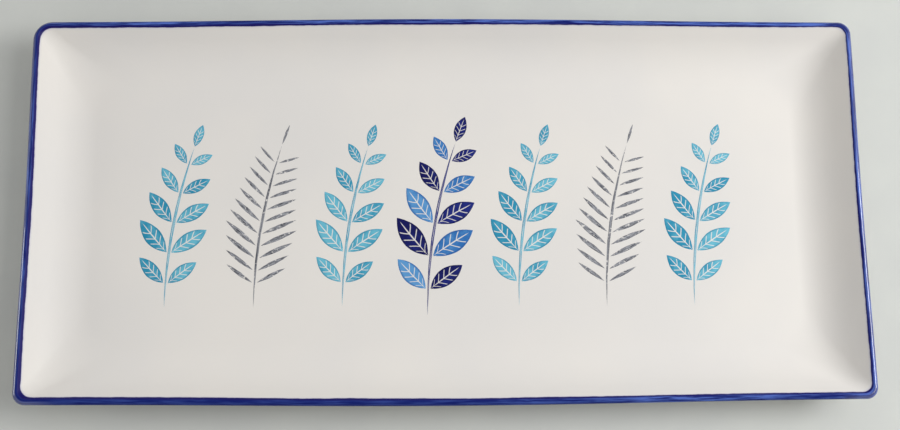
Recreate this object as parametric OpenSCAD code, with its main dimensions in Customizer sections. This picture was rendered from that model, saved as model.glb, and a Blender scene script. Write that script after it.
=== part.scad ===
// Rectangular serving tray: a pressed stoneware body with a flat well, walls that sweep up to a
// round lip, and a ground foot ring. White glaze covers the body, a cobalt band is brushed over
// the lip, and a row of leaf sprigs is painted on the well.
// The origin is the middle of the foot, on the table. +X runs along the tray and +Z is up.

/* [Outline] */
// Length over the lip, from corner to corner
tray_length = 360; // [300:1:420]
// Width over the lip, at the middles of the long sides
tray_width = 170; // [150:1:210]
// Height from the table to the top of the lip
tray_height = 20; // [18:0.5:26]
// Radius of the lip's outer corners
lip_corner_r = 7; // [5:0.5:10]
// Radius of the well's corners, where the walls meet the floor
well_corner_r = 16; // [10:0.5:24]
// How far the long sides swell outwards at their middles
long_bow = 1.5; // [0:0.1:3]
// How far the short ends draw in at their middles
end_bow = 0.5; // [0:0.1:2]

/* [Section] */
// Radius of the lip's softly rounded outer side
lip_out_r = 1.9; // [1.5:0.1:2.6]
// Radius of the lip's tighter inner edge
lip_in_r = 0.8; // [0.7:0.1:1.4]
// Slope of the wall's inner face below the lip, in degrees from flat
inner_slope = 46; // [40:1:56]
// Slope of the wall's outer face below the lip, in degrees from flat
outer_slope = 52; // [46:1:62]
// Radius of the sweep from the floor of the well up into the wall
sweep_r = 28; // [22:0.5:34]
// Radius of the heel, where the wall turns under the tray
heel_r = 26; // [16:0.5:30]
// Thickness of the floor
floor_t = 4.3; // [3.5:0.1:5.5]

/* [Foot ring] */
// Height of the foot ring below the base
foot_h = 2.5; // [2:0.1:3.5]
// Width of the foot ring
foot_w = 4; // [3:0.1:6]
// Distance from the end of the heel's round in to the foot ring
foot_gap = 2; // [2:0.5:8]
// Radius of the foot's two rubbed edges
foot_edge_r = 1; // [0.4:0.1:1.4]

/* [Glaze] */
// Thickness of the glaze and of the band
coat_t = 0.4; // [0.25:0.05:0.6]
// How far the cobalt band runs down the inside of the wall, below the round of the lip
band_lap = 0.3; // [0.1:0.1:1.5]
// How far the cobalt band runs down the outside of the wall, below the round of the lip
band_drop = 2; // [0.5:0.1:4]
// Width of clay wiped clean on both sides of the foot ring
wipe_w = 1; // [0.5:0.1:1.8]

/* [Sprigs] */
// Thickness of the painted colour
paint_t = 0.1; // [0.06:0.01:0.2]
// Bare floor left between the sprigs and the edge of the well
print_margin = 11; // [6:0.5:20]
// Distance between neighbouring sprigs
sprig_pitch = 38; // [36:0.5:46]
// How much shorter the other sprigs are than the middle one
side_short = 8; // [0:0.5:16]
// Width of a stem at its foot
stem_w = 1.2; // [0.8:0.1:1.8]
// Radius to which the stems bend
stem_bend_r = 240; // [160:5:400]
// Bare gap between a stem and the foot of each leaf
leaf_gap = 0.5; // [0.3:0.1:1]

/* [Turquoise leaves] */
// Length of the longest turquoise leaf
turquoise_leaf_l = 19; // [14:0.5:22]
// Width of the longest turquoise leaf
turquoise_leaf_w = 7.5; // [5:0.1:9]
// Pairs of leaves on a turquoise sprig
turquoise_pairs = 5; // [3:1:6]

/* [Blue leaves] */
// Length of the longest leaf on the middle sprig
blue_leaf_l = 22; // [16:0.5:26]
// Width of the longest leaf on the middle sprig
blue_leaf_w = 9.5; // [6:0.1:11]
// Pairs of leaves on the middle sprig
blue_pairs = 5; // [3:1:6]

/* [Grey strokes] */
// Length of the longest grey stroke
stroke_l = 17; // [12:0.5:22]
// Width of a grey stroke at its middle
stroke_w = 2; // [1:0.1:3]
// Pairs of strokes on a grey frond
stroke_pairs = 11; // [7:1:13]

/* [Hidden] */

// Steps of the surface: round a corner, along a long side, along a short end, and round
// the sweep, the lip's inner edge and outer side, the heel and an edge of the foot
corner_steps = 8;
long_steps = 10;
end_steps = 6;
sweep_steps = 8;
lip_in_steps = 4;
lip_out_steps = 8;
heel_steps = 5;
edge_steps = 3;
// Steps along a stem, and in the whole circle that a leaf's edge is cut from
stem_steps = 10;
leaf_circle_steps = 300;

// Levels of the glazed surfaces
under_z = foot_h;
floor_z = under_z + floor_t;

// Half sizes of the lip's outline at the corners
half_l = tray_length / 2;
half_w = tray_width / 2 - long_bow;

// A place on the wall's section is [inward from the edge of the lip, height], and where an
// outline runs round the tray through it, the radius of that outline's corners is added.
// Up the normal of a face that slopes at angle a, towards the inside of the tray.
function rise(a) = [sin(a), cos(a)];
// Down along a face that slopes at angle a
function fall(a) = [cos(a), -sin(a)];

// Centres of the lip's inner edge and outer side, which meet at its crest
lip_in_mid = [lip_out_r, tray_height - lip_in_r];
lip_out_mid = [lip_out_r, tray_height - lip_out_r];

// Centre of the sweep: its round meets the floor below and the straight inner face above
inner_top = lip_in_mid + lip_in_r * rise(inner_slope);
sweep_top_z = floor_z + sweep_r * (1 - cos(inner_slope));
inner_run = (inner_top[1] - sweep_top_z) / tan(inner_slope);
sweep_mid = [inner_top[0] + inner_run + sweep_r * sin(inner_slope), floor_z + sweep_r];

// Centre of the heel: its round meets the straight outer face above and the base below
outer_top = lip_out_mid - lip_out_r * rise(outer_slope);
heel_top_z = under_z + heel_r * (1 - cos(outer_slope));
outer_run = (outer_top[1] - heel_top_z) / tan(outer_slope);
heel_mid = [outer_top[0] + outer_run + heel_r * sin(outer_slope), under_z + heel_r];
foot_inset = heel_mid[0] + foot_gap;

// The lip is as thick at the corners as along the sides, so its corners grow tighter inwards.
// Below it the corners grow rounder, inside towards the well and outside towards the foot.
function lip_place(p) = concat(p, lip_corner_r - p[0]);
inner_growth = (well_corner_r - lip_corner_r + inner_top[0]) / (sweep_mid[0] - inner_top[0]);
function inner_place(p) =
    concat(p, lip_corner_r - inner_top[0] + inner_growth * (p[0] - inner_top[0]));
outer_growth = (well_corner_r - lip_corner_r + outer_top[0]) / (heel_mid[0] - outer_top[0]);
function outer_place(p) =
    concat(p, lip_corner_r - outer_top[0] + outer_growth * (p[0] - outer_top[0]));

// Stretches of the section, each as places at a depth below the glazed surface
function sweep_curve(depth) = [
    for (i = [0 : sweep_steps])
        inner_place(sweep_mid - (sweep_r + depth) * rise(inner_slope * i / sweep_steps))];
function band_start(depth) = inner_place(
    lip_in_mid + (lip_in_r - depth) * rise(inner_slope) + band_lap * fall(inner_slope));
function lip_curve(depth) = concat(
    [for (i = [0 : lip_in_steps])
        lip_place(lip_in_mid + (lip_in_r - depth) * rise(inner_slope * (1 - i / lip_in_steps)))],
    [for (i = [1 : lip_out_steps])
        lip_place(lip_out_mid
            + (lip_out_r - depth) * rise((outer_slope - 180) * i / lip_out_steps))]);
function band_end(depth) = outer_place(
    lip_out_mid - (lip_out_r - depth) * rise(outer_slope) + band_drop * fall(outer_slope));
function heel_curve(depth) = [
    for (i = [0 : heel_steps])
        outer_place(heel_mid - (heel_r - depth) * rise(outer_slope * (1 - i / heel_steps)))];
function base_end(depth) = outer_place([foot_inset - wipe_w, under_z + depth]);

// The same stretches joined into whole faces
function inner_face(depth) = concat(sweep_curve(depth), [band_start(depth)]);
function lip_face(depth) = concat([band_start(depth)], lip_curve(depth), [band_end(depth)]);
function outer_face(depth) = concat([band_end(depth)], heel_curve(depth), [base_end(depth)]);

function reversed(list) = [for (i = [len(list) - 1 : -1 : 0]) list[i]];
function without_first(list) = [for (i = [1 : len(list) - 1]) list[i]];

// Outline of the tray through one place of the section. The long sides swell and the ends draw in.
function swell(s) = pow(cos(90 * s), 2);
function ring_xy(place) =
    let (r = place[2], x = half_l - place[0] - r, y = half_w - place[0] - r,
         x_sign = [1, -1, -1, 1], y_sign = [1, 1, -1, -1])
    [for (q = [0 : 3])
        let (corner = [for (i = [0 : corner_steps])
                let (turn = 90 * (q + i / corner_steps))
                [x_sign[q] * x + r * cos(turn), y_sign[q] * y + r * sin(turn)]],
             steps = q % 2 == 0 ? long_steps : end_steps,
             side = [for (i = [1 : steps - 1])
                let (s = 1 - 2 * i / steps)
                q % 2 == 0
                    ? y_sign[q] * [x * s, y + r + long_bow * swell(s)]
                    : x_sign[q] * [x + r - end_bow * swell(s), -y * s]])
        each concat(corner, side)];
function ring(place) = [for (p = ring_xy(place)) [p[0], p[1], place[1]]];

// Skin through the outlines at the places of a section. A capped skin is closed over the middle
// of the tray at its first and last outline, and any other runs round to its first outline again.
module loft(section, capped) {
    n = len(ring_xy(section[0]));
    m = len(section);
    last = m * n;
    points = concat(
        [for (place = section) each ring(place)],
        capped ? [[0, 0, section[0][1]], [0, 0, section[m - 1][1]]] : []);
    bands = [
        for (j = [0 : capped ? m - 2 : m - 1], i = [0 : n - 1])
            let (k = (i + 1) % n, up = ((j + 1) % m) * n, low = j * n)
            each [[low + i, low + k, up + k], [low + i, up + k, up + i]]];
    caps = capped ? [
        for (i = [0 : n - 1])
            let (k = (i + 1) % n)
            each [[last, k, i], [last + 1, last - n + i, last - n + k]]] : [];
    polyhedron(points, concat(bands, caps), convexity = 6);
}

// Section of the foot ring: from inside the body down to its rubbed edges and up again
foot_root_z = under_z + floor_t / 2;
function foot_section() =
    let (out = foot_inset + foot_edge_r, in = foot_inset + foot_w - foot_edge_r)
    concat(
        [outer_place([foot_inset, foot_root_z])],
        [for (i = [0 : edge_steps])
            outer_place([out, foot_edge_r] - foot_edge_r * rise(90 * (1 - i / edge_steps)))],
        [for (i = [0 : edge_steps])
            outer_place([in, foot_edge_r] - foot_edge_r * rise(-90 * i / edge_steps))],
        [outer_place([foot_inset + foot_w, foot_root_z])]);

// Pressed stoneware: well, walls, lip and foot ring, all below the thickness of the glaze
module clay_body() {
    color("#d9cdb8") union() {
        loft(concat(
            inner_face(coat_t),
            without_first(lip_face(coat_t)),
            heel_curve(coat_t)), true);
        loft(foot_section(), false);
    }
}

// White glaze over the well and up the inside of the walls to the band
module face_glaze() {
    color("#e9e5dd") loft(concat(inner_face(0), reversed(inner_face(coat_t))), true);
}

// Cobalt band over the round of the lip, edge to edge with the white glaze on both sides
module lip_band() {
    color("#26318c") loft(concat(lip_face(0), reversed(lip_face(coat_t))), false);
}

// White glaze over the outside of the walls and the heel, as far as the wiped foot
module wall_glaze() {
    color("#e4e0d8") loft(concat(outer_face(0), reversed(outer_face(coat_t))), false);
}

// White glaze on the base inside the foot ring
module base_glaze() {
    color("#e4e0d8")
        translate([0, 0, under_z])
            linear_extrude(coat_t)
                polygon(ring_xy(outer_place([foot_inset + foot_w + wipe_w, under_z])));
}

// A pointed leaf along +X from its foot, between two round arcs
module leaf(length, width) {
    arc_r = (length * length + width * width) / (4 * width);
    translate([length / 2, 0])
        intersection_for (side = [-1, 1])
            translate([0, side * (arc_r - width / 2)])
                circle(arc_r, $fn = leaf_circle_steps);
}

// Place and heading along a stem that rises from the origin and bends to the right
function bend(s) = s / stem_bend_r * 180 / PI;
function stem_place(s) = stem_bend_r * [1 - cos(bend(s)), sin(bend(s))];
function stem_heading(s) = 90 - bend(s);

// A bent stem that tapers towards its tip
stem_tip_share = 0.5;
module stem(length) {
    function edge(side) = [
        for (i = [0 : stem_steps])
            let (s = length * i / stem_steps,
                 w = stem_w * (1 - (1 - stem_tip_share) * i / stem_steps))
            stem_place(s) + side * w / 2 * [cos(bend(s)), -sin(bend(s))]];
    polygon(concat(edge(1), reversed(edge(-1))));
}

// Share of the stem at which the first and the last pair of leaves stand
first_pair_at = 0.14;
last_pair_at = 0.88;

// Leaves are full size at one share of the way up, and smaller towards the foot and the tip
full_leaf_at = 0.3;
foot_leaf_share = 0.8;
tip_leaf_share = 0.55;
function leaf_share(t) =
    t < full_leaf_at
        ? foot_leaf_share + (1 - foot_leaf_share) * t / full_leaf_at
        : 1 - (1 - tip_leaf_share) * (t - full_leaf_at) / (1 - full_leaf_at);

// One leaf of a pair, beside the stem, at a share t of the way from the first pair to the last
module side_leaf(stem_l, t, side, leaf_l, leaf_w, spread) {
    s = stem_l * (first_pair_at + (last_pair_at - first_pair_at) * t);
    translate(stem_place(s))
        rotate(stem_heading(s) + side * spread)
            translate([leaf_gap + stem_w / 2 / sin(spread), 0])
                leaf(leaf_l * leaf_share(t), leaf_w * leaf_share(t));
}

// Leaf that ends the stem
module tip_leaf(stem_l, leaf_l, leaf_w) {
    translate(stem_place(stem_l))
        rotate(stem_heading(stem_l))
            translate([leaf_gap, 0])
                leaf(leaf_l * tip_leaf_share, leaf_w * tip_leaf_share);
}

// Angle between a stem and its leaves, and between a frond's stem and its strokes
leaf_spread = 48;
stroke_spread = 58;

// The row of sprigs stands across the floor of the well. The middle sprig fills the floor's
// width but for its margins, and as many others stand beside it as the floor's length takes.
mid_sprig_l = 2 * (half_w - sweep_mid[0] - print_margin);
side_sprig_l = mid_sprig_l - side_short;
function stem_length(sprig_l, leaf_l) = sprig_l - leaf_gap - leaf_l * tip_leaf_share;
function lean(sprig_l) = stem_place(sprig_l)[0];
sprig_reach = turquoise_leaf_l + lean(side_sprig_l) / 2;
row_half_l = half_l - end_bow - sweep_mid[0] - print_margin - sprig_reach;
last_column = floor(row_half_l / sprig_pitch);

// Sets a sprig at a column of the row, counted from the middle, with its foot at the near side
module at_column(column, sprig_l) {
    translate([column * sprig_pitch - lean(sprig_l) / 2, -sprig_l / 2]) children();
}

// Paint laid on the floor of the well
module painted() {
    translate([0, 0, floor_z]) linear_extrude(paint_t) children();
}

module turquoise_sprig() {
    stem_l = stem_length(side_sprig_l, turquoise_leaf_l);
    stem(stem_l);
    for (i = [0 : turquoise_pairs - 1], side = [-1, 1])
        side_leaf(stem_l, i / (turquoise_pairs - 1), side,
            turquoise_leaf_l, turquoise_leaf_w, leaf_spread);
    tip_leaf(stem_l, turquoise_leaf_l, turquoise_leaf_w);
}

module grey_frond() {
    stem_l = stem_length(side_sprig_l, stroke_l);
    stem(stem_l);
    for (i = [0 : stroke_pairs - 1], side = [-1, 1])
        side_leaf(stem_l, i / (stroke_pairs - 1), side, stroke_l, stroke_w, stroke_spread);
    tip_leaf(stem_l, stroke_l, stroke_w);
}

// Every second leaf of the middle sprig, counted across its pairs
mid_stem_l = stem_length(mid_sprig_l, blue_leaf_l);
module second_leaves(start) {
    for (i = [0 : blue_pairs - 1], side = [0, 1])
        if ((i + side) % 2 == start)
            side_leaf(mid_stem_l, i / (blue_pairs - 1), 2 * side - 1,
                blue_leaf_l, blue_leaf_w, leaf_spread);
}

// Turquoise sprigs on the odd columns of the row
module turquoise_leaf_print() {
    color("#3ea0be") painted()
        for (column = [-last_column : last_column])
            if (abs(column) % 2 == 1) at_column(column, side_sprig_l) turquoise_sprig();
}

// Stem, tip and every second leaf of the middle sprig
module navy_leaf_print() {
    color("#0e145f") painted() at_column(0, mid_sprig_l) {
        stem(mid_stem_l);
        second_leaves(0);
        tip_leaf(mid_stem_l, blue_leaf_l, blue_leaf_w);
    }
}

// The middle sprig's other leaves
module blue_leaf_print() {
    color("#3c82c3") painted() at_column(0, mid_sprig_l) second_leaves(1);
}

// Grey fronds on the even columns, but for the middle one
module grey_brush_print() {
    color("#7d7f86") painted()
        for (column = [-last_column : last_column])
            if (column != 0 && abs(column) % 2 == 0) at_column(column, side_sprig_l) grey_frond();
}

clay_body();
face_glaze();
lip_band();
wall_glaze();
base_glaze();
turquoise_leaf_print();
navy_leaf_print();
blue_leaf_print();
grey_brush_print();
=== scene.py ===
from math import cos, pi, radians, sin, tan

import bpy
from mathutils import Matrix, Vector


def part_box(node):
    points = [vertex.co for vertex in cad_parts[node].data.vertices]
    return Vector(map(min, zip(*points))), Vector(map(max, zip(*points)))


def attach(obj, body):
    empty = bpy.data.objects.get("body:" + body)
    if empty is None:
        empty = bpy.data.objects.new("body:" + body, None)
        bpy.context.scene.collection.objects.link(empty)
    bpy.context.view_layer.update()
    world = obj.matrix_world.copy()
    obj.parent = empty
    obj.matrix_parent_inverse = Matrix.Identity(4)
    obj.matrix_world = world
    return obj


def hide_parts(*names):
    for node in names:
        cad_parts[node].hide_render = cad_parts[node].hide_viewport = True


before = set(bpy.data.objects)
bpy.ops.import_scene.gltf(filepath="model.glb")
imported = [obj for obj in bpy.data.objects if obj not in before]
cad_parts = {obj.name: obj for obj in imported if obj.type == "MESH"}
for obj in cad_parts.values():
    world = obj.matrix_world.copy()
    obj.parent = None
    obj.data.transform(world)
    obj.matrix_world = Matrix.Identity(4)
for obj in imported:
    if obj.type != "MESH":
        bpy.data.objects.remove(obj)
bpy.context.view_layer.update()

# Clay body
# One pressed piece of pale stoneware: a flat well, walls that sweep up to a round lip, and a foot
# ring whose sole was rubbed flat. It is bare only at the foot, where the wet glaze was wiped off.
mm = 0.001
lip_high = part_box("lip_band")[1]
face_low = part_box("face_glaze")[0]
base_low, base_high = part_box("base_glaze")
glaze_depth = base_high.z - base_low.z
base_height = base_low.z
floor_height = face_low.z + glaze_depth

lip_outer_round = 1.9 * mm
lip_inner_round = 0.8 * mm
sweep_round = 28 * mm
heel_round = 26 * mm
inner_slope = radians(46)
outer_slope = radians(52)
band_lap = 0.3 * mm
band_drop = 2 * mm
foot_gap = 2 * mm
foot_width = 4 * mm
foot_edge = 1 * mm
wiped = 1 * mm
lip_corner = 7 * mm
well_corner = 16 * mm
long_bow = 1.5 * mm
end_bow = 0.5 * mm
half_length = lip_high.x
half_width = lip_high.y - long_bow


# A place on the wall's section is (inward from the edge of the lip, height), and where an outline
# runs round the tray through it, the radius of that outline's corners is added.
def rise(slope):
    """Up the normal of a face with this slope, towards the inside of the tray."""
    return Vector((sin(slope), cos(slope)))


def fall(slope):
    """Down along a face with this slope."""
    return Vector((cos(slope), -sin(slope)))


def arc(middle, reach, start, end, steps):
    """Places round a middle, from one slope to another."""
    return [middle + reach * rise(start + (end - start) * i / steps) for i in range(steps + 1)]


lip_inner = Vector((lip_outer_round, lip_high.z - lip_inner_round))
lip_outer = Vector((lip_outer_round, lip_high.z - lip_outer_round))
inner_top = lip_inner + lip_inner_round * rise(inner_slope)
sweep_top = floor_height + sweep_round * (1 - cos(inner_slope))
inner_run = (inner_top.y - sweep_top) / tan(inner_slope)
sweep_inset = inner_top.x + inner_run + sweep_round * sin(inner_slope)
sweep_middle = Vector((sweep_inset, floor_height + sweep_round))
outer_top = lip_outer - lip_outer_round * rise(outer_slope)
heel_top = base_height + heel_round * (1 - cos(outer_slope))
outer_run = (outer_top.y - heel_top) / tan(outer_slope)
heel_inset = outer_top.x + outer_run + heel_round * sin(outer_slope)
heel_middle = Vector((heel_inset, base_height + heel_round))
foot_inset = heel_middle.x + foot_gap


def lip_place(spot):
    """Round the lip, which is as thick at the corners as along the sides."""
    return Vector((*spot, lip_corner - spot.x))


def widening(top, foot):
    """For a wall whose corners grow rounder from its top to its foot."""
    def place(spot):
        share = (spot.x - top.x) / (foot.x - top.x)
        return Vector((*spot, (1 - share) * (lip_corner - top.x) + share * well_corner))
    return place


inner_place = widening(inner_top, sweep_middle)
outer_place = widening(outer_top, heel_middle)


def band_start(depth):
    return inner_place(
        lip_inner + (lip_inner_round - depth) * rise(inner_slope) + band_lap * fall(inner_slope))


def band_end(depth):
    return outer_place(
        lip_outer - (lip_outer_round - depth) * rise(outer_slope) + band_drop * fall(outer_slope))


sweep_steps, lip_inner_steps, lip_outer_steps, heel_steps, foot_steps = 28, 12, 28, 16, 8


def inner_face(depth):
    sweep = arc(sweep_middle, -(sweep_round + depth), 0, inner_slope, sweep_steps)
    return [*map(inner_place, sweep), band_start(depth)]


def lip_face(depth):
    inner_edge = arc(lip_inner, lip_inner_round - depth, inner_slope, 0, lip_inner_steps)
    outer_side = arc(lip_outer, lip_outer_round - depth, 0, outer_slope - pi, lip_outer_steps)
    return [band_start(depth), *map(lip_place, inner_edge + outer_side[1:]), band_end(depth)]


def outer_face(depth):
    heel = arc(heel_middle, -(heel_round - depth), outer_slope, 0, heel_steps)
    end = Vector((foot_inset - wiped, base_height + depth))
    return [band_end(depth), *map(outer_place, [*heel, end])]


class Wire:
    """A node's socket that takes part in Python sums, which add their Math nodes to its tree."""

    def __init__(self, socket):
        self.socket = socket

    @staticmethod
    def node(tree, kind, settings=None, sockets=None, out=0):
        """Any node: its settings are set first, then the values or links of its sockets."""
        node = tree.nodes.new(kind)
        for name, value in (settings or {}).items():
            setattr(node, name, value)
        for name, values in (sockets or {}).items():
            socket = node.inputs[name] if isinstance(name, int) else next(
                s for s in node.inputs if s.name == name and s.enabled)
            for value in values if isinstance(values, list) else [values]:
                if isinstance(value, Wire):
                    tree.links.new(value.socket, socket)
                else:
                    socket.default_value = value
        shown = [s for s in node.outputs if s.enabled]
        return Wire(shown[out] if isinstance(out, int) else next(s for s in shown if s.name == out))

    @staticmethod
    def math(operation, *values):
        tree = next(v for v in values if isinstance(v, Wire)).socket.id_data
        return Wire.node(tree, "ShaderNodeMath", {"operation": operation}, dict(enumerate(values)))

    def __add__(self, other):
        return Wire.math("ADD", self, other)

    __radd__ = __add__

    def __sub__(self, other):
        return Wire.math("SUBTRACT", self, other)

    def __rsub__(self, other):
        return Wire.math("SUBTRACT", other, self)

    def __mul__(self, other):
        return Wire.math("MULTIPLY", self, other)

    __rmul__ = __mul__

    def __truediv__(self, other):
        return Wire.math("DIVIDE", self, other)

    def __rtruediv__(self, other):
        return Wire.math("DIVIDE", other, self)

    def __abs__(self):
        return Wire.math("ABSOLUTE", self)

    def axis(self, letter):
        """One of a vector's three numbers."""
        return Wire.node(self.socket.id_data, "ShaderNodeSeparateXYZ", {}, {"Vector": self}, letter)

    def ease(self, low, high):
        """0 at low, 1 at high, and a smooth change between them."""
        return Wire.node(self.socket.id_data, "ShaderNodeMapRange",
                         {"interpolation_type": "SMOOTHSTEP"},
                         {"Value": self, "From Min": low, "From Max": high})


def mesh_tree(name, sizes):
    """A Geometry Nodes tree with named inputs, and a wire from each of them."""
    tree = bpy.data.node_groups.new(name, "GeometryNodeTree")
    tree.interface.new_socket("Mesh", in_out="OUTPUT", socket_type="NodeSocketGeometry")
    tree.interface.new_socket("Mesh", in_out="INPUT", socket_type="NodeSocketGeometry")
    for label, kind in sizes.items():
        tree.interface.new_socket(label, in_out="INPUT", socket_type="NodeSocket" + kind)
    return tree, {s.name: Wire(s) for s in tree.nodes.new("NodeGroupInput").outputs if s.name}


def end_tree(tree, mesh, material, sharp_from=radians(40)):
    """Ends a tree: smooth faces with sharp edges, no instances, and the material."""
    angle = Wire.node(tree, "GeometryNodeInputMeshEdgeAngle")
    smooth = Wire.node(tree, "GeometryNodeSetShadeSmooth", {"domain": "FACE"}, {"Geometry": mesh})
    sharp = Wire.node(tree, "GeometryNodeSetShadeSmooth", {"domain": "EDGE"}, {
        "Geometry": smooth, "Selection": Wire.math("GREATER_THAN", angle, sharp_from),
        "Shade Smooth": False})
    whole = Wire.node(tree, "GeometryNodeRealizeInstances", {}, {"Geometry": sharp})
    done = Wire.node(tree, "GeometryNodeSetMaterial", {}, {
        "Geometry": whole, "Material": material})
    tree.links.new(done.socket, tree.nodes.new("NodeGroupOutput").inputs[0])


def piece_from(name, mesh, tree, sizes):
    """A piece whose mesh a tree has made out of a simpler one."""
    piece = bpy.data.objects.new(name, mesh)
    bpy.context.scene.collection.objects.link(piece)
    modifier = piece.modifiers.new(tree.name, "NODES")
    modifier.node_group = tree
    for item in tree.interface.items_tree:
        if item.in_out == "INPUT" and item.name in sizes:
            modifier[item.identifier] = sizes[item.name]
    made = piece.evaluated_get(bpy.context.evaluated_depsgraph_get())
    plain = bpy.data.meshes.new_from_object(made)
    piece.modifiers.clear()
    piece.data = plain
    plain.name = name
    return piece


# The tray's walls: each point knows which corner or side it belongs to, its place on the section
# and the way its outline faces there, and the tree works out where that is.
wall_tree, size = mesh_tree("tray wall", {
    "Half Length": "Float", "Half Width": "Float", "Long Bow": "Float", "End Bow": "Float",
    "Corner Reach": "Float", "Material": "Material"})


def kept(name):
    """What the points of a wall know about themselves."""
    return Wire.node(wall_tree, "GeometryNodeInputNamedAttribute", {"data_type": "FLOAT"},
                     {"Name": name})


def swell(share):
    """1 at the middle of a side and 0 at its ends."""
    return Wire.math("POWER", Wire.math("COSINE", share * (pi / 2)), 2)


inset, turn = kept("inset"), kept("turn")
near_edge = Wire.math("MAXIMUM", 1 - inset / size["Corner Reach"], 0.0)
corner = kept("corner") + kept("corner_change") * near_edge * near_edge
spot = Wire.node(wall_tree, "GeometryNodeInputPosition")
along, across = spot.axis("X"), spot.axis("Y")
out_x, out_y = Wire.math("COSINE", turn), Wire.math("SINE", turn)
place = Wire.node(wall_tree, "ShaderNodeCombineXYZ", {}, {
    "X": along * (size["Half Length"] - inset - corner)
    + out_x * (corner - size["End Bow"] * swell(across)),
    "Y": across * (size["Half Width"] - inset - corner)
    + out_y * (corner + size["Long Bow"] * swell(along)),
    "Z": kept("height")})
end_tree(wall_tree, Wire.node(wall_tree, "GeometryNodeSetPosition", {}, {
    "Geometry": size["Mesh"], "Position": place}), size["Material"])

# The edge of the lip was softened by hand, so each of its corners has a radius of its own. These are
# added to the corner's radius at the far right, the far left, the near left and the near right, and
# fade out inwards.
corner_changes = -1.3 * mm, 1.3 * mm, -1.9 * mm, -2 * mm
corner_reach = 6.75 * mm
corner_steps, long_steps, end_steps = 14, 64, 32
outline = []
for quarter, (x_side, y_side) in enumerate([(1, 1), (-1, 1), (-1, -1), (1, -1)]):
    change, next_change = corner_changes[quarter], corner_changes[(quarter + 1) % 4]
    outline += [(x_side, y_side, pi / 2 * (quarter + i / corner_steps), change)
                for i in range(corner_steps + 1)]
    facing = pi / 2 * (quarter + 1)
    steps = end_steps if quarter % 2 else long_steps
    for i in range(1, steps):
        share = 1 - 2 * i / steps
        x, y = (x_side, y_side * share) if quarter % 2 else (x_side * share, y_side)
        outline.append((x, y, facing, change + (next_change - change) * i / steps))


def wall_piece(name, section, capped, material, marks):
    """A closed skin round the tray through the places of a section, with a mark at each place.
    A capped skin is closed over the middle at its first and last outline."""
    n, m = len(outline), len(section)
    faces = [(j * n + i, (j + 1) % m * n + i, (j + 1) % m * n + (i + 1) % n, j * n + (i + 1) % n)
             for j in range(m - 1 if capped else m) for i in range(n)]
    if capped:
        faces += [tuple(range(n)), tuple(reversed(range((m - 1) * n, m * n)))]
    mesh = bpy.data.meshes.new(name)
    mesh.from_pydata([(x, y, 0) for _ in section for x, y, _, _ in outline], [], faces)
    marks = {"inset": [p.x for p in section], "height": [p.y for p in section],
             "corner": [p.z for p in section], **marks}
    values = {key: [v for v in column for _ in outline] for key, column in marks.items()}
    values["turn"] = [facing for _ in section for _, _, facing, _ in outline]
    values["corner_change"] = [change for _ in section for *_, change in outline]
    for key, column in values.items():
        mesh.attributes.new(key, "FLOAT", "POINT").data.foreach_set("value", column)
    return piece_from(name, mesh, wall_tree, {
        "Half Length": half_length, "Half Width": half_width, "Long Bow": long_bow,
        "End Bow": end_bow, "Corner Reach": corner_reach, "Material": material})


def tint(code):
    """The linear colour of a hex code."""
    parts = [int(code[i:i + 2], 16) / 255 for i in (1, 3, 5)]
    return (*[p / 12.92 if p <= 0.04045 else ((p + 0.055) / 1.055) ** 2.4 for p in parts], 1.0)


def mixed(share, first, second):
    """A colour between two, by a share from 0 to 1."""
    return Wire.node(share.socket.id_data, "ShaderNodeMix", {"data_type": "RGBA"},
                     {"Factor": share, "A": first, "B": second})


def grain(spot, scale, detail=2.0, roughness=0.5):
    """Cloudy noise, with this many clouds to the metre."""
    return Wire.node(spot.socket.id_data, "ShaderNodeTexNoise", {"noise_dimensions": "3D"},
                     {"Vector": spot, "Scale": scale, "Detail": detail, "Roughness": roughness},
                     "Fac")


def finish(name, colour, roughness, relief, depth, shine, coat=lambda spot: {}):
    """A material from functions that give its colour, roughness, relief and coat at a spot."""
    material = bpy.data.materials.new(name)
    material.use_nodes = True
    tree = material.node_tree
    tree.nodes.clear()
    spot = Wire.node(tree, "ShaderNodeTexCoord", {}, {}, "Object")
    bump = Wire.node(tree, "ShaderNodeBump", {}, {
        "Height": relief(spot), "Strength": 1.0, "Distance": depth})
    shader = Wire.node(tree, "ShaderNodeBsdfPrincipled", {}, {
        "Base Color": colour(spot), "Roughness": roughness(spot), "Normal": bump,
        "Specular IOR Level": shine, **coat(spot)})
    tree.links.new(shader.socket, tree.nodes.new("ShaderNodeOutputMaterial").inputs["Surface"])
    return material


dark_clay, pale_clay, clay_speck = tint("#cdbfa6"), tint("#e0d5c0"), tint("#9c8468")
clay_relief = 0.05 * mm
clay_shine = 0.3


def clay_colour(spot):
    """Sandy clay with a few dark specks."""
    sanded = mixed(grain(spot, 900, 4).ease(0.35, 0.65), dark_clay, pale_clay)
    return mixed(grain(spot, 2600, 1).ease(0.68, 0.74), sanded, clay_speck)


bare_clay = finish(
    "bare stoneware", clay_colour,
    lambda spot: 0.78 + 0.14 * grain(spot, 700, 3),
    lambda spot: grain(spot, 2200, 3), clay_relief, clay_shine)

clay_base = base_height + glaze_depth
foot_outer = Vector((foot_inset + foot_edge, foot_edge))
foot_inner = Vector((foot_inset + foot_width - foot_edge, foot_edge))
foot = [Vector((foot_inset, clay_base)),
        *arc(foot_outer, -foot_edge, pi / 2, 0, foot_steps),
        *arc(foot_inner, -foot_edge, 0, -pi / 2, foot_steps),
        Vector((foot_inset + foot_width, clay_base))]
clay_section = [*inner_face(glaze_depth), *lip_face(glaze_depth)[1:],
                *outer_face(glaze_depth)[1:-1], *map(outer_place, foot)]
clay = wall_piece("stoneware_body", clay_section, True, bare_clay, {})
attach(clay, "root")
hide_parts("clay_body")

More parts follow.
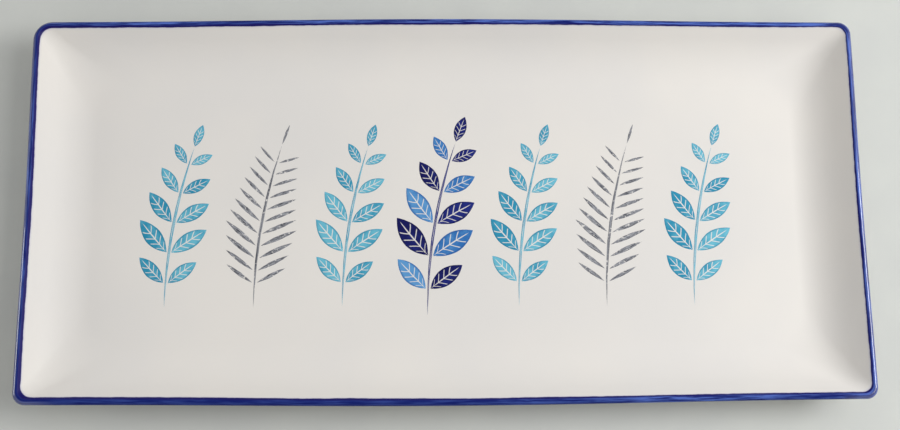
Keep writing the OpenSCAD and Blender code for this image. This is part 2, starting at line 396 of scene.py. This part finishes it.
# White glaze
# A smooth warm white glaze with a soft sheen, poured over the well and the walls and brushed on the
# recessed base. It lies a little uneven, and takes a thin blue bloom where it meets the band.
warm_white, cool_white = tint("#e8e4de"), tint("#e3e0dc")
deep_cobalt, thin_cobalt, pooled_cobalt = tint("#04176a"), tint("#5470c4"), tint("#150f62")
blue_bloom = tint("#8f8fd0")
wave_depth = 0.06 * mm
satin_shine = 0.15


def glaze_white(spot):
    """White that is a little warmer where the glaze lies thick."""
    return mixed(grain(spot, 14, 3).ease(0.3, 0.7), warm_white, cool_white)


def satin(spot):
    """The roughness of the fired glaze."""
    return 0.4 + 0.12 * grain(spot, 60, 3)


def glaze_waves(spot):
    """Broad waves of the poured glaze, with a faint finer ripple on them."""
    return grain(spot, 55, 2) + 0.12 * grain(spot, 420, 2)


def mark(spot, name):
    """One of the marks that a piece's mesh carries, such as a distance along its section."""
    return Wire.node(spot.socket.id_data, "ShaderNodeAttribute", {"attribute_name": name}, {},
                     "Fac")


# Brush hairs to the metre along the lip and across it
hairs_along, hairs_across = 80, 1500


def cobalt(spot):
    """Brushed cobalt: dark where it pooled along its edges, thin and paler over the crest. Towards
    the far side and the right end it is paler still: painted light for the brighter light and sheen
    there."""
    x, y = spot.axis("X"), spot.axis("Y")
    brushed = Wire.node(spot.socket.id_data, "ShaderNodeCombineXYZ", {}, {
        "X": x * hairs_along, "Y": y * hairs_along, "Z": mark(spot, "across_lip") * hairs_across})
    hairs = grain(brushed, 1.0, 4, 0.6).ease(0.37, 0.66)
    # Painted light: the band is made paler towards the far side and the right end, where the lip
    # catches more light and sheen
    painted_far_right_light = (grain(spot, 13, 2) + 0.5 * x + 1.2 * y).ease(0.41, 0.64)
    streaks = mixed(hairs * (0.28 + 0.95 * painted_far_right_light), deep_cobalt, thin_cobalt)
    pooled = (mark(spot, "past_band") + 0.6 * mm * grain(spot, 90)).ease(-0.7 * mm, 0.1 * mm)
    return mixed(pooled, streaks, pooled_cobalt)


# How far the band's colour ran past its edge, and how much that grows in a metre to the left and in a
# metre to the near side, where the brush was full
edge_run, run_left, run_near = 0.25 * mm, 1.4 * mm, 1.5 * mm


def banded(spot):
    """White glaze with the cobalt band on it, whose brushed edge wavers."""
    waver = 0.8 * mm * (grain(spot, 38) - 0.5) + 0.5 * mm * (grain(spot, 300) - 0.5)
    spread = edge_run - run_left * spot.axis("X") - run_near * spot.axis("Y")
    past_edge = mark(spot, "past_band") + waver - spread
    painted = past_edge.ease(0.3 * mm, 0.02 * mm)
    bloom = 0.3 * past_edge.ease(1.2 * mm, 0)
    return mixed(painted, mixed(bloom, glaze_white(spot), blue_bloom), cobalt(spot))


def glazed(name, colour, **coat):
    """A colour with the soft sheen of the fired glaze."""
    return finish(name, colour, satin, glaze_waves, wave_depth, satin_shine, **coat)


white_glaze = glazed("white glaze", banded)


def run_along(section):
    """The distance to each place of a section, measured along it."""
    distances = [0.0]
    for first, second in zip(section, section[1:]):
        distances.append(distances[-1] + (second - first).xy.length)
    return distances


def skin(face):
    """A closed section: a face, and back along the same face at the depth of the glaze."""
    return face(0) + face(glaze_depth)[::-1]


def there_and_back(distances):
    """The marks of a skin, the same on both of its faces."""
    return distances + distances[::-1]


across_lip = run_along(lip_face(0))
below_lip = run_along(inner_face(0)[::-1])[::-1]
face = wall_piece("well_glaze", skin(inner_face), True, white_glaze, {
    "past_band": there_and_back(below_lip),
    "across_lip": there_and_back([-d for d in below_lip])})
below_band = run_along(outer_face(0))
wall = wall_piece("outer_wall_glaze", skin(outer_face), False, white_glaze, {
    "past_band": there_and_back(below_band),
    "across_lip": there_and_back([across_lip[-1] + d for d in below_band])})
base_edge = Vector((foot_inset + foot_width + wiped + glaze_depth, clay_base))
base_edge_steps = 6
base_section = [*map(outer_place, arc(base_edge, -glaze_depth, pi / 2, 0, base_edge_steps))]
far_from_band = 1.0
base = wall_piece("base_glaze_coat", base_section, True, white_glaze, {
    "past_band": [far_from_band] * len(base_section), "across_lip": [0.0] * len(base_section)})
for piece, node in ((face, "face_glaze"), (wall, "wall_glaze"), (base, "base_glaze")):
    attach(piece, "root")
    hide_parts(node)

# Lip band
# Cobalt brushed by hand round the lip before the last firing. It is thin and streaky over the crest
# and dark along both edges, where it pooled. At both ends clear glaze ran thick and glossy over its
# outer shoulder.
clear_from, clear_full = half_length - 20 * mm, half_length - 4 * mm
shoulder_from, shoulder_full = 1.2 * mm, 1.9 * mm
clear_roughness, clear_index = 0.04, 2.1


def shoulder_coat(spot):
    """The clear glaze over the outer shoulder at both ends."""
    at_end = abs(spot.axis("X")).ease(clear_from, clear_full)
    on_shoulder = mark(spot, "across_lip").ease(shoulder_from, shoulder_full)
    return {"Coat Weight": at_end * on_shoulder, "Coat Roughness": clear_roughness,
            "Coat IOR": clear_index}


within = [-min(d, across_lip[-1] - d) for d in across_lip]
cobalt_glaze = glazed("cobalt glaze", banded, coat=shoulder_coat)
band = wall_piece("cobalt_lip_band", skin(lip_face), False, cobalt_glaze, {
    "past_band": there_and_back(within), "across_lip": there_and_back(across_lip)})
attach(band, "root")
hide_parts("lip_band")

# Painted sprigs
# A row of leaf sprigs on the floor of the well, each mark one stroke of a loaded brush, laid in
# turquoise, two blues and a dry-brushed grey, and fired with the glaze, whose soft sheen they share.
paint_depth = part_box("navy_leaf_print")[1].z - floor_height
bend_round = 240 * mm
stem_width = 1.2 * mm
leaf_gap = 0.5 * mm
first_pair, last_pair = 0.14, 0.88
full_leaf_at, foot_leaf, tip_leaf = 0.3, 0.8, 0.55
sprig_pitch = 38 * mm
print_margin = 11 * mm
side_short = 8 * mm
middle_sprig = 2 * (half_width - sweep_middle.x - print_margin)
side_sprig = middle_sprig - side_short

sprig_tree, size = mesh_tree("painted sprigs", {
    "Pairs": "Int", "Stem Length": "Float", "Stem Width": "Float", "Leaf Length": "Float",
    "Leaf Width": "Float", "Spread": "Float", "Gap": "Float", "Bend Radius": "Float",
    "Every": "Int", "Start": "Int", "With Stem": "Bool", "Sprigs": "Int",
    "First Sprig": "Vector", "Sprig Step": "Float", "Paint Depth": "Float", "Waver": "Float",
    "Seed": "Int", "Material": "Material"})


def add(kind, settings, sockets, out=0):
    return Wire.node(sprig_tree, kind, settings, sockets, out)


def vector(x=0.0, y=0.0, z=0.0):
    return add("ShaderNodeCombineXYZ", {}, {"X": x, "Y": y, "Z": z})


def strokes_at(points, turn, length, width, chosen, tone_seed):
    """One brush mark on each point, turned and sized, with a tone of its own."""
    marks = add("GeometryNodeInstanceOnPoints", {}, {
        "Points": points, "Selection": chosen, "Instance": size["Mesh"],
        "Rotation": vector(z=turn), "Scale": vector(length, width, size["Paint Depth"])})
    tone = add("FunctionNodeRandomValue", {"data_type": "FLOAT"}, {
        "Min": 0.0, "Max": 1.0, "Seed": size["Seed"] + tone_seed})
    return add("GeometryNodeStoreNamedAttribute", {"data_type": "FLOAT", "domain": "INSTANCE"}, {
        "Geometry": marks, "Name": "leaf_tone", "Value": tone})


count = add("GeometryNodeInputIndex", {}, {})
pair = Wire.math("FLOOR", count / 2)
side = count - 2 * pair
share = pair / (size["Pairs"] - 1)
leaf_share = Wire.math("MINIMUM", foot_leaf + share * ((1 - foot_leaf) / full_leaf_at),
                       1 - (share - full_leaf_at) * ((1 - tip_leaf) / (1 - full_leaf_at)))
spread = (2 * side - 1) * size["Spread"]
clear = size["Gap"] + size["Stem Width"] / 2 / Wire.math("SINE", size["Spread"])
heading = pi / 2 + spread
stand = size["Stem Length"] * (first_pair + share * (last_pair - first_pair))
leaf_points = add("GeometryNodePoints", {}, {
    "Count": 2 * size["Pairs"],
    "Position": vector(clear * Wire.math("COSINE", heading),
                       stand + clear * Wire.math("SINE", heading))})
turn_about = Wire.math("MODULO", pair + side, size["Every"])
side_leaves = strokes_at(
    leaf_points, heading, size["Leaf Length"] * leaf_share, size["Leaf Width"] * leaf_share,
    Wire.math("COMPARE", turn_about, size["Start"], 0.1), 1)
tip_point = add("GeometryNodePoints", {}, {
    "Count": 1, "Position": vector(y=size["Stem Length"] + size["Gap"])})
tip = strokes_at(tip_point, pi / 2, size["Leaf Length"] * tip_leaf, size["Leaf Width"] * tip_leaf,
                 size["With Stem"], 2)
stem_point = add("GeometryNodePoints", {}, {"Count": 1})
stem = strokes_at(stem_point, pi / 2, size["Stem Length"], size["Stem Width"], size["With Stem"], 3)
straight = add("GeometryNodeRealizeInstances", {}, {
    "Geometry": add("GeometryNodeJoinGeometry", {}, {"Geometry": [side_leaves, tip, stem]})})
spot = add("GeometryNodeInputPosition", {}, {})
x, y, z = (spot.axis(letter) for letter in "XYZ")
radius = size["Bend Radius"] - x
bent = add("GeometryNodeSetPosition", {}, {"Geometry": straight, "Position": vector(
    size["Bend Radius"] - radius * Wire.math("COSINE", y / size["Bend Radius"]),
    radius * Wire.math("SINE", y / size["Bend Radius"]), z)})
row_points = add("GeometryNodePoints", {}, {"Count": size["Sprigs"], "Position": add(
    "ShaderNodeVectorMath", {"operation": "ADD"}, {
        0: size["First Sprig"], 1: vector(count * size["Sprig Step"])})})
row = add("GeometryNodeStoreNamedAttribute", {"data_type": "FLOAT", "domain": "INSTANCE"}, {
    "Geometry": add("GeometryNodeInstanceOnPoints", {}, {"Points": row_points, "Instance": bent}),
    "Name": "sprig_tone",
    "Value": add("FunctionNodeRandomValue", {"data_type": "FLOAT"}, {
        "Min": 0.0, "Max": 1.0, "Seed": size["Seed"]})})
whole_row = add("GeometryNodeRealizeInstances", {}, {"Geometry": row})
trembles_per_metre = 230.0
tremble = add("ShaderNodeTexNoise", {"noise_dimensions": "3D"}, {
    "Vector": spot, "Scale": trembles_per_metre, "Detail": 2.0}, "Color")
tremble_x, tremble_y = ((tremble.axis(letter) - 0.5) * size["Waver"] for letter in "XY")
end_tree(sprig_tree, add("GeometryNodeSetPosition", {}, {
    "Geometry": whole_row, "Offset": vector(tremble_x, tremble_y)}), size["Material"])


def brush_mark(name, long_steps=18, cross_steps=6):
    """A pointed mark of unit length, width and depth: a low crown over a flat sole."""
    points, marks = [(0, 0, 0)], [(0, 0)]
    for i in range(1, long_steps):
        u = i / long_steps
        for j in range(cross_steps + 1):
            v = 2 * j / cross_steps - 1
            points.append((u, v * 2 * u * (1 - u), 1 - v ** 4))
            marks.append((u, v))
    points.append((1, 0, 0))
    marks.append((1, 0))
    wide, tip_index = cross_steps + 1, len(points) - 1

    def at(i, j):
        return 0 if i == 0 else tip_index if i == long_steps else 1 + (i - 1) * wide + j

    faces = []
    for i in range(long_steps):
        for j in range(cross_steps):
            loop = [at(i, j), at(i + 1, j), at(i + 1, j + 1), at(i, j + 1)]
            faces.append(tuple(dict.fromkeys(loop)))
    near_edge = [at(i, 0) for i in range(long_steps + 1)]
    far_edge = [at(i, cross_steps) for i in range(long_steps - 1, 0, -1)]
    faces.append(tuple(reversed(near_edge + far_edge)))
    mesh = bpy.data.meshes.new(name)
    mesh.from_pydata(points, [], faces)
    for key, column in (("leaf_along", 0), ("leaf_across", 1)):
        mesh.attributes.new(key, "FLOAT", "POINT").data.foreach_set(
            "value", [pair[column] for pair in marks])
    return mesh


def stem_length(sprig, leaf):
    return sprig - leaf_gap - leaf * tip_leaf


def sprigs(name, material, columns, sprig, leaf, width, pairs, spread, seed,
           every=1, start=0, with_stem=True, waver=0.3 * mm):
    """A colour's sprigs, at columns counted from the middle of the row."""
    lean = bend_round * (1 - cos(sprig / bend_round))
    return piece_from(name, brush_mark(name), sprig_tree, {
        "Pairs": pairs, "Stem Length": stem_length(sprig, leaf), "Stem Width": stem_width,
        "Leaf Length": leaf, "Leaf Width": width, "Spread": radians(spread), "Gap": leaf_gap,
        "Bend Radius": bend_round, "Every": every, "Start": start, "With Stem": with_stem,
        "Sprigs": len(columns),
        "First Sprig": (columns[0] * sprig_pitch - lean / 2, -sprig / 2, floor_height),
        "Sprig Step": (columns[1] - columns[0]) * sprig_pitch if len(columns) > 1 else 0.0,
        "Paint Depth": paint_depth, "Waver": waver, "Seed": seed, "Material": material})


vein_count = 6


def veins(spot, width):
    """Bare lines along a leaf's middle and out from it to both sides, short of its tip."""
    u, v = mark(spot, "leaf_along"), abs(mark(spot, "leaf_across"))
    rib = v.ease(width * 1.3, width * 0.7) * u.ease(0.92, 0.82)
    vein = u * vein_count - v * 1.1
    side_vein = abs(Wire.math("FRACT", vein) - 0.5).ease(width * 1.6, width * 0.8)
    short_of_tip = vein.ease(vein_count - 1.9, vein_count - 2.1)
    return Wire.math("MAXIMUM", rib, side_vein * v.ease(0.86, 0.74) * short_of_tip)


def tone_of(spot):
    """A number of its own for each brush mark."""
    return Wire.math("FRACT", mark(spot, "leaf_tone") + mark(spot, "sprig_tone"))


def washed(deep, pale, rim, vein_width):
    """Paint that ran a little: paler and deeper clouds, a dark rim and bare veins."""
    def colour(spot):
        cloud = 0.72 * grain(spot, 210, 5, 0.6) + 0.28 * tone_of(spot)
        wash = mixed(cloud.ease(0.3, 0.66), tint(deep), tint(pale))
        edge = abs(mark(spot, "leaf_across")).ease(0.7, 1.0) * 0.7
        rimmed = mixed(edge, wash, tint(rim))
        return mixed(0.92 * veins(spot, vein_width), rimmed, warm_white)
    return colour


dark_grey, pale_grey = tint("#3a3c46"), tint("#a5a7ad")


def dry_brushed(spot):
    """Grey dragged on with a nearly dry brush, so that the white shows through in streaks."""
    u, v = mark(spot, "leaf_along"), mark(spot, "leaf_across")
    hairs = grain(Wire.node(spot.socket.id_data, "ShaderNodeCombineXYZ", {}, {
        "X": u * 5 + 31 * tone_of(spot), "Y": v * 3.2, "Z": 17 * mark(spot, "sprig_tone")}),
        1.0, 3, 0.6)
    grey = mixed(hairs.ease(0.36, 0.62), dark_grey, pale_grey)
    return mixed(grain(spot, 900, 3).ease(0.56, 0.72), grey, cool_white)


turquoise_paint = glazed("turquoise paint", washed("#2c8fb2", "#6dbcd2", "#1f7f9f", 0.07))
navy_paint = glazed("navy paint", washed("#0b1055", "#1c2a7e", "#080b45", 0.06))
blue_paint = glazed("blue paint", washed("#2f6fb4", "#5e9ad0", "#22569b", 0.06))
grey_paint = glazed("grey dry-brushed paint", dry_brushed)

turquoise = sprigs("turquoise_sprigs", turquoise_paint, (-3, -1, 1, 3), side_sprig,
                   leaf=19 * mm, width=7.5 * mm, pairs=5, spread=48, seed=3)
middle_leaves = {"leaf": 22 * mm, "width": 9.5 * mm, "pairs": 5, "spread": 48, "every": 2}
navy = sprigs("navy_sprig", navy_paint, (0,), middle_sprig, seed=5, **middle_leaves)
blue = sprigs("blue_sprig_leaves", blue_paint, (0,), middle_sprig, seed=7, start=1,
              with_stem=False, **middle_leaves)
grey = sprigs("grey_fronds", grey_paint, (-2, 2), side_sprig,
              leaf=17 * mm, width=2 * mm, pairs=11, spread=58, seed=9, waver=0.5 * mm)
for piece, node, slot in (
        (turquoise, "turquoise_leaf_print", "turquoise_paint"),
        (navy, "navy_leaf_print", "navy_paint"),
        (blue, "blue_leaf_print", "blue_paint"),
        (grey, "grey_brush_print", "grey_paint")):
    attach(piece, "root")
    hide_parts(node)

# Table, light and camera
# A pale matt table top, lit from the right by a soft panel above and a smaller one at its side, and
# a little from the left, with a soft glow from the room all round and a plain pale backdrop.
reach = 4
pale_table, grey_table = tint("#d2d4cf"), tint("#ced0cc")
table_relief = 0.02 * mm
table_mesh = bpy.data.meshes.new("table_top")
table_mesh.from_pydata(
    [(-reach, -reach, 0), (reach, -reach, 0), (reach, reach, 0), (-reach, reach, 0)], [],
    [(0, 1, 2, 3)])
table = bpy.data.objects.new("table_top", table_mesh)
table_top = finish(
    "pale table top",
    lambda spot: mixed(grain(spot, 30, 4).ease(0.3, 0.7), pale_table, grey_table),
    lambda spot: 0.6 + 0.2 * grain(spot, 200, 2),
    lambda spot: grain(spot, 1500, 2), table_relief, 0)
table_mesh.materials.append(table_top)
bpy.context.scene.collection.objects.link(table)

grid_spread = radians(115)
tray_middle = Vector((0, 0, 0.02))


def panel(name, place, wide, tall, power):
    """A soft panel that faces the tray, with a grid that keeps its light off the rest."""
    lamp = bpy.data.lights.new(name, "AREA")
    lamp.shape, lamp.size, lamp.size_y, lamp.energy = "RECTANGLE", wide, tall, power
    lamp.spread = grid_spread
    light = bpy.data.objects.new(name, lamp)
    light.location = place
    light.rotation_euler = (tray_middle - light.location).to_track_quat("-Z", "Y").to_euler()
    bpy.context.scene.collection.objects.link(light)


panel("high panel", (0.73, 0.03, 0.8), wide=0.9, tall=0.72, power=2.34)
panel("side panel", (0.9, 0.06, 0.57), wide=0.36, tall=0.28, power=1.66)
panel("fill panel", (-1.0, 0, 0.3), wide=0.36, tall=0.2, power=0.41)

world = bpy.data.worlds.new("soft room")
world.use_nodes = True
room = world.node_tree
sight = Wire.node(room, "ShaderNodeTexCoord", {}, {}, "Generated")
far_window, near_window, left_window = (0, 0.86, 0.51), (0, -0.86, 0.51), (-0.86, 0.1, 0.5)
glow = 0.0
for facing, strength in ((far_window, 0.7), (near_window, 0.6), (left_window, 0.2)):
    towards = Wire.node(room, "ShaderNodeVectorMath", {"operation": "DOT_PRODUCT"}, {
        0: sight, 1: facing}, "Value")
    glow = glow + strength * Wire.math("POWER", Wire.math("MAXIMUM", towards, 0.0), 2.0)
in_view, in_gloss, in_glass = (
    Wire.node(room, "ShaderNodeLightPath", {}, {}, f"Is {kind} Ray")
    for kind in ("Camera", "Glossy", "Transmission"))
seen = Wire.math("MAXIMUM", in_view, Wire.math("MAXIMUM", in_gloss, in_glass))
backdrop = 0.5
room.nodes["Background"].inputs["Color"].default_value = (1, 1, 1, 1)
room.links.new((glow * (1 - seen) + backdrop * seen).socket,
               room.nodes["Background"].inputs["Strength"])
bpy.context.scene.world = world
bpy.context.scene.view_settings.view_transform = "Standard"

camera_pitch, camera_yaw, camera_roll = radians(76.922), radians(7.502), radians(7.101)
aim = Vector((0, 0, 18.5 * mm))
camera_away, camera_right, camera_down = 599.274 * mm, 1.159 * mm, 3.741 * mm
ahead = Vector((sin(camera_yaw) * cos(camera_pitch), cos(camera_yaw) * cos(camera_pitch),
                -sin(camera_pitch)))
level = Vector((cos(camera_yaw), -sin(camera_yaw), 0))
down = ahead.cross(level)
right, down = (cos(camera_roll) * level - sin(camera_roll) * down,
               sin(camera_roll) * level + cos(camera_roll) * down)
eye = aim - camera_away * ahead + camera_right * right + camera_down * down
lens = bpy.data.cameras.new("camera")
lens.sensor_width, lens.lens = 36, 56
camera = bpy.data.objects.new("camera", lens)
camera.matrix_world = Matrix.Translation(eye) @ Matrix(
    (right, -down, -ahead)).transposed().to_4x4()
bpy.context.scene.collection.objects.link(camera)
bpy.context.scene.camera = camera
